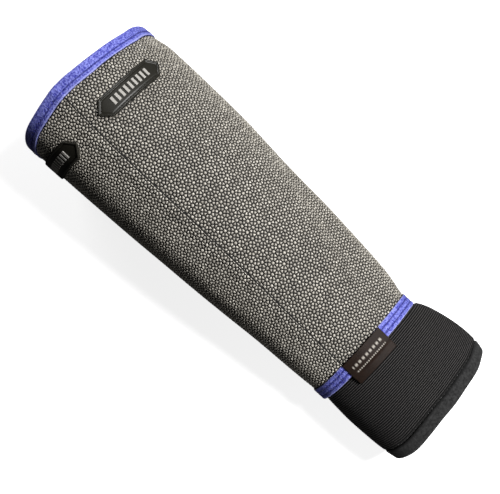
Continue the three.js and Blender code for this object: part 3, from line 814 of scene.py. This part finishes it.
# %% The two panels
half_angle = CONE_ANGLE / 2
PANELS = (
    ("right_panel_plates", 1, half_angle / 2, half_angle / 2),
    ("left_panel_plates", -1, 0.0, half_angle),
)
for name, side, middle_angle, widest_angle in PANELS:
    points, faces, start = [], [], 0
    for x, around in laid_plates(middle_angle, widest_angle):
        centre = around.mean(1) * side
        station = x.mean(1)
        on_panel = (centre > -PLATE_REACH) & (centre < guard_skin.girth(station) / 2 + PLATE_REACH)
        on = on_panel & (station > EDGE_X[0] - PLATE_REACH) & (station < EDGE_X[1] + PLATE_REACH)
        x, around = trimmed(x[on], around[on], side)
        plates = plate_meshes(x, around)
        size = plates.shape[1]
        pattern = plate_faces(x.shape[1])
        for first in range(start, start + len(plates) * size, size):
            faces += [tuple(first + v for v in face) for face in pattern]
        start += len(plates) * size
        points.append(plates.reshape(-1, 3))
    new_piece(name, np.concatenate(points), faces, plate_resin, "guard_fabric")

# %% [markdown]
# ## Stitches
# A sewn line is a row of short raised threads with a dimple at each end. Thread is the smallest thing
# that the eye looks for on sewn goods, so each stitch is a small bent cylinder that dives into the
# cloth at both ends.

# %% Stitch builder
# A stitch thins towards its ends, to this share of its thickness
THREAD_ENDS = 0.55


def stitch_row(skin, x, around, height, radius, edge=LAP["edge"], rise=0.35, sides=6, steps=5):
    """Stitches between pairs of places: x and around are arrays (stitches, 2 ends)."""
    t = np.linspace(0, 1, steps)
    along_x = x[:, :1] + (x[:, 1:] - x[:, :1]) * t
    along_round = around[:, :1] + (around[:, 1:] - around[:, :1]) * t
    arch = height + rise * np.sin(np.pi * t) - rise * 0.8
    path = skin.at(along_x, along_round, arch, edge)
    above = skin.at(along_x, along_round, arch + 1.0, edge)
    up = above - path
    up /= np.linalg.norm(up, axis=-1, keepdims=True)
    ahead = np.gradient(path, axis=1)
    ahead /= np.linalg.norm(ahead, axis=-1, keepdims=True)
    across = np.cross(ahead, up)
    turn = np.arange(sides) / sides * 2 * np.pi
    ring = across[:, :, None] * np.cos(turn)[:, None] + up[:, :, None] * np.sin(turn)[:, None]
    fat = radius * MM * np.array([THREAD_ENDS] + [1.0] * (steps - 2) + [THREAD_ENDS])
    return path[:, :, None] + ring * fat[:, None, None]


def stitches(name, rows, material, slot):
    """One piece from several rows of stitches."""
    rings = np.concatenate(rows)
    count, steps, sides = rings.shape[:3]
    size = steps * sides
    pattern = [tuple(range(sides)), tuple(range(size - 1, size - sides - 1, -1))]
    for ring in range(0, size - sides, sides):
        after = ring + sides
        for s in range(sides):
            pattern.append((ring + s, after + s, after + (s + 1) % sides, ring + (s + 1) % sides))
    faces = [tuple(first * size + v for v in face) for first in range(count) for face in pattern]
    return new_piece(name, rings, faces, material, slot)


def round_row(skin, x, length=2.6, space=0.7, height=0.0, radius=0.22, **more):
    """A row of stitches right round the sleeve at one station."""
    girth = float(skin.girth(x))
    count = int(girth / (length + space))
    start = np.arange(count) * girth / count
    ends = np.stack([start, start + length], 1)
    return stitch_row(skin, np.full_like(ends, x), ends, height, radius, **more)


def thread_material(name, dark, light):
    """Spun polyester thread: a soft sheen and fine twist lines."""
    material, shader = new_material(name, dark, 0.6, sheen_weight=0.3, sheen_roughness=0.4)
    fuzz = noise(material, 0.25)
    link(material, blend(material, fuzz, dark, light), shader.inputs["Base Color"])
    relief(material, shader, fuzz, 0.4, 0.1)
    return material


navy_thread = thread_material("navy_polyester_thread", "#1a1c6e", "#2e33a4")
black_thread = thread_material("black_polyester_thread", "#151313", "#2a2725")

# %% [markdown]
# ## The lapped seam
# The sleeve closes in one long seam: the left panel's edge is turned under and laid over the right
# panel. Its first sewing is hidden in the fold, and a row of topstitches runs 6 to 8 mm back from it.
# Both pull the cloth down.

# %% Seam stitches
LENGTH, SPACE = 2.7, 0.8
start = np.arange(BINDING_WIDTH + 0.5, BAND_START - LENGTH - 0.5, LENGTH + SPACE)
ends = np.stack([start, start + LENGTH], 1)
row = stitch_row(guard_skin, ends, -lap_width(ends), height=0.22, radius=0.12)
stitches("seam_stitches", [row], black_thread, "guard_fabric")

# %% [markdown]
# ## Blue binding tape
# The raw edge at the elbow is wrapped in a folded tape, woven from polyester with fine ribs across it.
# It is sewn through once, about 6 mm from the rim, and the tape puffs up a little between stitches.

# %% Tape material
TAPE_THREAD = 0.62
# How much of the tone comes from the cloudy dye, and how strongly the lines show
DYE_SHARE = 0.75
LINE_STRENGTH = 0.75


def tape_material(name, sewn_lines, pale_lines):
    """Woven polyester tape: fine ribs and cloudy dye, with painted shade along the sewn lines and pale
    lines along its edges.
    """
    material, shader = new_material(
        name, "#5a60cc", 0.62, sheen_weight=0.1, sheen_roughness=0.35, specular_ior_level=0.3
    )
    threads = ranged(material, weave_height(material, TAPE_THREAD), -1.0, 1.0)
    dye = ranged(material, noise(material, 1.3, roughness=0.7), 0.38, 0.62)
    both = add(material, "Mix", {2: threads, 3: dye}, {0: DYE_SHARE}).outputs[0]
    tone = blend(material, both, "#15199a", "#9aa0f6")
    along_map, _ = map_axes(material)
    # Painted lines: dark along each sewn line as painted shade in its groove, and pale along the edges.
    for at_lines, colour, width in ((pale_lines, "#b4b8f6", 0.8), (sewn_lines, "#1a1d74", 1.0)):
        for line in at_lines:
            near = near_line(material, along_map, line, width)
            tone = blend(material, maths(material, "MULTIPLY", near, LINE_STRENGTH), tone, colour)
    link(material, tone, shader.inputs["Base Color"])
    relief(material, shader, both, 0.8, 0.3)
    return material


# %% Binding at the elbow
STITCH_LINE = 7.0
PUCKER = dict(repeat=3.0, depth=0.25, width=1.0)
# Tape bridges the step of the seam over this width
TAPE_LAP = 3.0
RIM_ROLL = 2.0
BINDING_COLUMNS = 420
OVER_STEPS = 14


def unsteady(around, wide, wave, short_wave, phase):
    """A sewn edge that wanders a little: a slow swing with a shorter one on it."""
    return wide * np.sin(around / wave) + 0.12 * np.sin(around / short_wave + phase)


def round_at(profile, columns):
    """Distances round the guard for the rings of a profile, a row for each of its points."""
    return guard_skin.girth(profile[:, 0])[:, None] * np.arange(columns + 1) / columns


def puckered(x, around):
    """Cloth puffs between stitches and dips at the line."""
    beat = 0.6 + 0.4 * np.cos(2 * np.pi * around / PUCKER["repeat"])
    return -PUCKER["depth"] * groove(x - STITCH_LINE, PUCKER["width"]) * beat


def binding_profile():
    """Stations and heights round the folded tape: over the top, round the rim and back inside."""
    low, under = -GUARD_WALL - TAPE_TOP, -GUARD_WALL - GAP
    middle = -GUARD_WALL / 2
    over = np.linspace(BINDING_WIDTH, RIM_ROLL + 0.2, OVER_STEPS)
    top = [(BINDING_WIDTH, GAP), (BINDING_WIDTH, TAPE_TOP - 0.45), (BINDING_WIDTH - 0.25, TAPE_TOP - 0.1)]
    top += [(x, TAPE_TOP) for x in over[1:]]
    rim = [
        (RIM_ROLL * (1 - math.sin(a)), middle + (TAPE_TOP - middle) * math.cos(a))
        for a in np.linspace(0, np.pi, 13)
    ]
    below = [(x, low) for x in over[::-1][1:]]
    back = [(BINDING_WIDTH, low + 0.3), (BINDING_WIDTH, under), (GUARD_START - GAP, under)]
    return np.array(top + rim + below + back + [(GUARD_START - GAP, GAP)])


profile = binding_profile()
x, rise = profile[:, :1], profile[:, 1:]
around = round_at(profile, BINDING_COLUMNS)
at_selvedge = np.abs(x - BINDING_WIDTH) < 0.3
stations = x + at_selvedge * unsteady(around, 0.22, 9.0, 3.7, 1)
dimples = puckered(x, around)
height = rise + np.where(rise > 1.0, dimples, 0.0) - np.where(rise < -3.0, dimples, 0.0)
rings = guard_skin.at(stations, around, height, TAPE_LAP)
inner = profile[:, 1] < -GUARD_WALL / 2
rings[inner] = guard_skin.at(stations[inner], around[inner], height[inner], edge=0)
# The map's first axis is the way across the tape, from its outer edge round to its inner one.
way = np.cumsum(np.r_[0, np.hypot(*np.diff(profile, axis=0).T)])
uv = np.stack([way[:, None] + 0 * around, around], -1)
sewn_at = way[np.argmin(np.abs(profile[:OVER_STEPS, 0] - STITCH_LINE))]
# The pale line along the tape's rounded top edge is a painted highlight, and the sewn line carries painted
# shade.
binding_tape = tape_material("woven_binding_tape", [sewn_at], [way[2]])
binding = tube("elbow_binding", rings[:, :-1], uv, binding_tape, "blue_tape")
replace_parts(binding, "top_binding")
row = round_row(guard_skin, STITCH_LINE, height=TAPE_TOP + 0.08, radius=0.24)
inside_height = -GUARD_WALL - TAPE_TOP - 0.05
inside_row = round_row(guard_skin, STITCH_LINE, height=inside_height, radius=0.2, edge=0, rise=-0.3)
stitches("binding_stitches", [row, inside_row], navy_thread, "blue_tape")

# %% [markdown]
# ## Blue tape at the wrist
# The join of guard and cuff is covered by the same tape, laid flat and sewn along both edges. The two sewn
# lines make it three soft ridges, with painted shade along the lines and a paler line along each edge.

# %% Wrist tape
SEWN_SHARES = np.array([0.33, 0.7])
TAPE_GROOVE = dict(width=0.07, depth=0.45)
EDGE_DROP = 0.3
TAPE_COLUMNS = 380
tape_x = np.linspace(BAND_START, BAND_END, 25)
share = (tape_x - BAND_START) / BAND_WIDTH
sewn = sum(groove(share - s, TAPE_GROOVE["width"]) for s in SEWN_SHARES)
top_height = TAPE_TOP - TAPE_GROOVE["depth"] * sewn - EDGE_DROP * np.abs(2 * share - 1) ** 8
profile = np.array([(BAND_START, GAP), *zip(tape_x, top_height), (BAND_END, GAP)])
x = profile[:, :1]
around = round_at(profile, TAPE_COLUMNS)
stations = x + unsteady(around, 0.25, 11.0, 4.1, 2)
rings = guard_skin.at(stations, around, profile[:, 1:], TAPE_LAP)
uv = np.stack([x + 0 * around, around], -1)
sewn_x = BAND_START + SEWN_SHARES * BAND_WIDTH
# Darker along the two sewn lines as painted shade in their grooves, and paler along both edges.
wrist_weave = tape_material("woven_wrist_tape", sewn_x, [BAND_START, BAND_END])
wrist_tape = tube("wrist_tape", rings[:, :-1], uv, wrist_weave, "blue_tape")
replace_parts(wrist_tape, "wrist_band")
rows = [round_row(guard_skin, x, height=TAPE_TOP - 0.2, radius=0.26) for x in sewn_x]
stitches("wrist_tape_stitches", rows, navy_thread, "blue_tape")

# %% [markdown]
# ## The elastic cuff
# The cuff is a doubled elastic knit. Rubber threads run round it and the yarn bunches up between
# them, which makes fine ribs parallel to the hem, about 1.4 mm apart. The ribs are geometry, and the
# tiny knit loops on them are bump.

# %% Ribbed knit
RIB = dict(spacing=1.43, height=0.45, sunk=0.25, crest_light_sharpness=12.0)
CUFF_COLUMNS = 300
# Elastic knit: matt black yarn. The crests of the ribs are painted paler and the grooves between them near
# black: painted light and shade on the ribs.
knit, shader = new_material(
    "elastic_rib_knit", "#161616", 0.9, sheen_weight=0.03, sheen_roughness=0.5, specular_ior_level=0.25
)
loops = weave_height(knit, 0.55)
relief(knit, shader, loops, 0.7, 0.15)
along_map, _ = map_axes(knit)
# Painted light and shade: each rib's crest is painted paler and the groove between ribs near black.
turn = maths(knit, "MULTIPLY", maths(knit, "SUBTRACT", along_map, BAND_END), math.pi / RIB["spacing"])
painted_crest_light = maths(knit, "POWER", maths(knit, "ABSOLUTE", maths(knit, "SINE", turn)), RIB["crest_light_sharpness"])
painted_rib_light = maths(knit, "MULTIPLY", painted_crest_light, ranged(knit, loops, -1.0, 1.0, 0.55))
tone = blend(knit, painted_rib_light, "#010101", "#605d5c")
# The last ribs sink into the groove before the hem, and painted shade darkens them there to near black.
tone = blend(knit, near_line(knit, along_map, HEM_START - 0.3, 3.0), tone, "#010101")
link(knit, tone, shader.inputs["Base Color"])

free_x = np.arange(BAND_END + 1.8, HEM_START - GAP, RIB["spacing"] / 5)
crests = np.abs(np.sin(np.pi * (free_x - BAND_END) / RIB["spacing"])) ** 0.7
before_hem = 0.9 * smooth((free_x - HEM_START + 1.8) / 1.5)
rib_height = RIB["height"] * crests - RIB["sunk"] - before_hem
tucked_x = np.array([GUARD_END - CUFF_TUCK, GUARD_END, BAND_END - GAP])
tucked_height = -GUARD_WALL - GAP
back_x = np.linspace(HEM_START - GAP, BAND_END + 4.5, 30)
rings, maps = [], []
for skin, x, height in (
    (guard_skin, tucked_x, tucked_height),
    (cuff_skin, free_x, rib_height),
    (cuff_skin, [HEM_START - GAP], -1.1),
    (cuff_skin, back_x, -CUFF_WALL),
    (guard_skin, tucked_x[::-1], tucked_height - CUFF_WALL),
):
    points, uv = rings_on(skin, x, height, CUFF_COLUMNS, edge=0)
    rings.append(points)
    maps.append(uv)
cuff = tube("ribbed_cuff", np.concatenate(rings), np.concatenate(maps), knit, "ribbed_knit")
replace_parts(cuff, "cuff")

# %% [markdown]
# ## The hem
# The hand end is turned in and sewn, so it is a smoother, thicker band. A groove marks the sewing.

# %% Hem
# Plain knit: the same yarn without rubber threads, smoother and a little fluffy.
hem_knit, shader = new_material("plain_knit_hem", "#232323", 0.9, sheen_weight=0.1, sheen_roughness=0.5)
fluff = noise(hem_knit, 1.8, 3.0, 0.7)
tone = blend(hem_knit, ranged(hem_knit, fluff, 0.38, 0.62), "#0a0a0a", "#303030")
along_map, _ = map_axes(hem_knit)
# Painted shade: near black in the groove where the hem meets the ribs.
tone = blend(hem_knit, near_line(hem_knit, along_map, HEM_START, 2.4), tone, "#010101")
link(hem_knit, tone, shader.inputs["Base Color"])
relief(hem_knit, shader, maths(hem_knit, "ADD", weave_height(hem_knit, 0.45), fluff), 0.5, 0.15)

HEM_ROLL = 2.0
low = -CUFF_WALL - GAP - HEM_TURN_THICKNESS
flat_end = TOTAL_LENGTH - HEM_ROLL - 0.4
hem_top = [(HEM_START, -1.0), (HEM_START + 0.4, 0.0), (HEM_START + 1.2, 0.5)]
hem_top += [(x, HEM_SWELL) for x in np.linspace(HEM_START + 2, flat_end, 8)]
middle, reach = (low + HEM_SWELL) / 2, (HEM_SWELL - low) / 2
hem_rim = [
    (TOTAL_LENGTH - HEM_ROLL * (1 - math.sin(a)), middle + reach * math.cos(a))
    for a in np.linspace(0, np.pi, 11)
]
hem_back = [(x, low) for x in np.linspace(flat_end, HEM_START - HEM_TURN, 12)]
hem_back += [(HEM_START - HEM_TURN, -CUFF_WALL - GAP), (HEM_START, -CUFF_WALL - GAP)]
profile = np.array(hem_top + hem_rim + hem_back)
rings, uv = rings_on(cuff_skin, profile[:, 0], profile[:, 1], CUFF_COLUMNS, edge=0)
hem = tube("cuff_hem_fold", rings, uv, hem_knit, "plain_knit")
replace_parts(hem, "cuff_hem")
hem_row = round_row(cuff_skin, HEM_START - 0.7, height=-0.7, radius=0.16, edge=0)
stitches("hem_stitches", [hem_row], black_thread, "ribbed_knit")

# %% [markdown]
# ## Moulded patches
# Two long hexagons of soft black rubber are sewn on near the elbow. Each is moulded with a raised
# border and a sunken field. The field holds a plain row of raised bars.

# %% Rubber
# Rubber of the patches: near black, with a finely pebbled satin face.
rubber, shader = new_material("moulded_rubber", "#161514", 0.45, ior=1.5)
pebble = noise(rubber, 0.6, 3.0)
link(rubber, blend(rubber, pebble, "#141310", "#2e2c24"), shader.inputs["Base Color"])
relief(rubber, shader, pebble, 0.3, 0.12)
# Rubber of the bars: pale and matt, all alike.
pale_rubber, shader = new_material("pale_grey_rubber", "#b4b1ab", 0.5)
relief(pale_rubber, shader, noise(pale_rubber, 0.5), 0.3, 0.1)

# %% Patch builder
def closed_sheet(top, under):
    """Two sheets of points, one over the other, as the points and faces of a solid. Their rows follow
    each other round the sleeve and their columns along it, so that the faces look outwards."""
    loop = np.concatenate([top, under[:, ::-1]], 1)
    rows, n = loop.shape[:2]
    index = np.arange(rows * n).reshape(rows, n)
    a, d = index[:-1], index[1:]
    faces = np.stack([a, np.roll(a, -1, 1), np.roll(d, -1, 1), d], -1).reshape(-1, 4).tolist()
    for row in (index[0, ::-1].tolist(), index[-1].tolist()):
        faces += [(row[k], row[k + 1], row[n - 2 - k], row[n - 1 - k]) for k in range(n // 2 - 1)]
    return loop, faces


# Heights and widths of the moulding in millimetres: its foot, its groove and how softly it rounds
MOULD = dict(foot=0.35, groove_depth=0.35, groove_width=0.35, groove_in=0.5, round=0.5)


def patch_height(s, across):
    """Height of the patch over the cloth, from its distance to the nearest edge."""
    inward = -np.maximum(*past_patch_edge(s, across))
    past_border = inward - PATCH["border"]
    foot = GAP + MOULD["foot"]
    rim = GAP + PATCH["plate"] + PATCH["rim"]
    rise = (rim - foot) * smooth(inward / MOULD["round"])
    fall = PATCH["rim"] * smooth((past_border + 0.35) / MOULD["round"])
    sunk = MOULD["groove_depth"] * groove(past_border - MOULD["groove_in"], MOULD["groove_width"])
    return foot + rise - fall - sunk


def patch_point(name, s, across, height):
    """Points in a patch's own axes: s round the sleeve from its middle, across along the sleeve."""
    station, share, slant = PATCH_PLACES[name]
    return guard_skin.at(station + across + slant * s, share * ELBOW_WIDTH + s, height, edge=0)


def moulded_patch(name, steps=150, wide=56):
    """A patch as a closed sheet on the cloth, with its points closer together near the edges."""
    s = HALF_LONG * np.sin(np.linspace(-1, 1, steps) * np.pi / 2)[:, None]
    taper = PATCH["blunt"] + TIP_RUN * (HALF_LONG - np.abs(s)) / PATCH["tip"]
    across = np.minimum(HALF_WIDE, taper) * np.sin(np.linspace(-1, 1, wide) * np.pi / 2)
    s = np.broadcast_to(s, across.shape)
    top = patch_point(name, s, across, patch_height(s, across))
    under = patch_point(name, s, across, np.full(across.shape, GAP))
    return new_piece(name + "_rubber", *closed_sheet(top, under), rubber, "moulded_rubber")


# Bars: how many, their width and space, half their length, and their height
BAR = dict(count=9, width=2.0, space=1.9, reach=2.9, height=0.45)


def raised_bars(name):
    """A row of equal bars across the patch's field, each a low block with chamfered edges."""
    pitch = BAR["width"] + BAR["space"]
    middles = (np.arange(BAR["count"]) - (BAR["count"] - 1) / 2) * pitch
    field = GAP + PATCH["plate"]
    levels = [(1.0, -0.1), (1.0, BAR["height"] * 0.7), (0.8, BAR["height"])]
    corner_s = np.array([-1, 1, 1, -1]) * BAR["width"] / 2
    corner_across = np.array([-1, -1, 1, 1]) * BAR["reach"]
    points, faces = [], []
    for middle in middles:
        first = 12 * len(points)
        points.append(np.concatenate([
            patch_point(name, middle + corner_s * scale, corner_across * (0.9 + 0.1 * scale), field + rise)
            for scale, rise in levels
        ]))
        for low in (first, first + 4):
            for c, d in ((0, 1), (1, 2), (2, 3), (3, 0)):
                faces.append((low + c, low + 4 + c, low + 4 + d, low + d))
        faces += [tuple(first + v for v in (8, 11, 10, 9)), tuple(first + v for v in (3, 0, 1, 2))]
    points = np.concatenate(points)
    return new_piece(name + "_bars", points, faces, pale_rubber, "moulded_rubber", flat=True)


for name in PATCH_PLACES:
    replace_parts(moulded_patch(name), name)
    raised_bars(name)

# %% [markdown]
# ## The woven label
# A small satin label is sewn over the wrist tape at the end of the seam. Its pattern is two plain
# broken lines of pale yarn that floats over the satin.

# %% Label
LABEL = dict(width=35.0, past_tape=8.0, thickness=0.9, from_seam=0.4, clear=0.6, plain_ends=4.0)
label_end = BAND_END + LABEL["past_tape"]
landing = (BAND_END + label_end) / 2
lifted = LABEL["clear"] + 0.5
# Station of each broken line, how far it fades to both sides, and the repeat of its dashes
BROKEN_LINES = ((BAND_START + 6.2, 1.6, 3.2), (BAND_START + 10.2, 0.8, 1.6))

# Satin: dark brown floats, a little glossier than the cloth.
satin, shader, plain_tone = cloth_material(
    "woven_label_satin", "#140a05", "#342012", 0.3, 0.05, roughness=0.6, specular_ior_level=0.25
)
along_map, round_map = map_axes(satin)
floats = 0.0
for line, width, repeat in BROKEN_LINES:
    near = near_line(satin, along_map, line, width)
    wave = maths(satin, "SINE", maths(satin, "MULTIPLY", round_map, 2 * math.pi / repeat))
    dashes = maths(satin, "MULTIPLY", near, ranged(satin, wave, -0.5, 0.1))
    floats = maths(satin, "MAXIMUM", floats, dashes)
away = maths(satin, "ABSOLUTE", maths(satin, "SUBTRACT", round_map, LABEL["width"] / 2))
inside_ends = maths(satin, "LESS_THAN", away, LABEL["width"] / 2 - LABEL["plain_ends"])
shown = maths(satin, "MULTIPLY", floats, inside_ends)
link(satin, blend(satin, shown, plain_tone, "#b9b2a8"), shader.inputs["Base Color"])


def label_points(x, across, top):
    """The label over the tape, then sloping down on to the cuff."""
    around = LABEL["from_seam"] + LABEL["width"] * across
    raised = LABEL["thickness"] * top
    on_tape = guard_skin.at(np.minimum(x, BAND_END), around, TAPE_TOP + GAP + raised, edge=0)
    past_landing = np.maximum(x, landing)
    cuff_height = np.interp(past_landing, [landing, label_end], [lifted, LABEL["clear"]])
    on_cuff = cuff_skin.at(past_landing, around, cuff_height + raised, edge=0)
    t = smooth((x - BAND_END) / (landing - BAND_END))[..., None]
    mixed = on_tape * (1 - t) + on_cuff * t
    middle = (x > BAND_END) & (x < landing)
    mixed[..., 0] = np.where(middle, (x + SHIFT_X) * MM, mixed[..., 0])
    return mixed


rows, columns = np.linspace(0, 1, 70), np.linspace(BAND_START, label_end, 44)
grid_across, grid_x = np.meshgrid(rows, columns, indexing="ij")
top, under = (label_points(grid_x, grid_across, side) for side in (1.0, 0.0))
loop, faces = closed_sheet(top, under)
uv_grid = np.stack([grid_x, LABEL["width"] * grid_across], -1)
uv_loop = np.concatenate([uv_grid, uv_grid[:, ::-1]], 1).reshape(-1, 2)
face_uv = [uv_loop[v] for face in faces for v in face]
label = new_piece("satin_label", loop, faces, satin, "label_satin", face_uv)
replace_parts(label, "woven_label")

# %% Size of the visual box
low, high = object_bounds()
print("visual box in mm:", [round(c / MM, 1) for c in high - low])
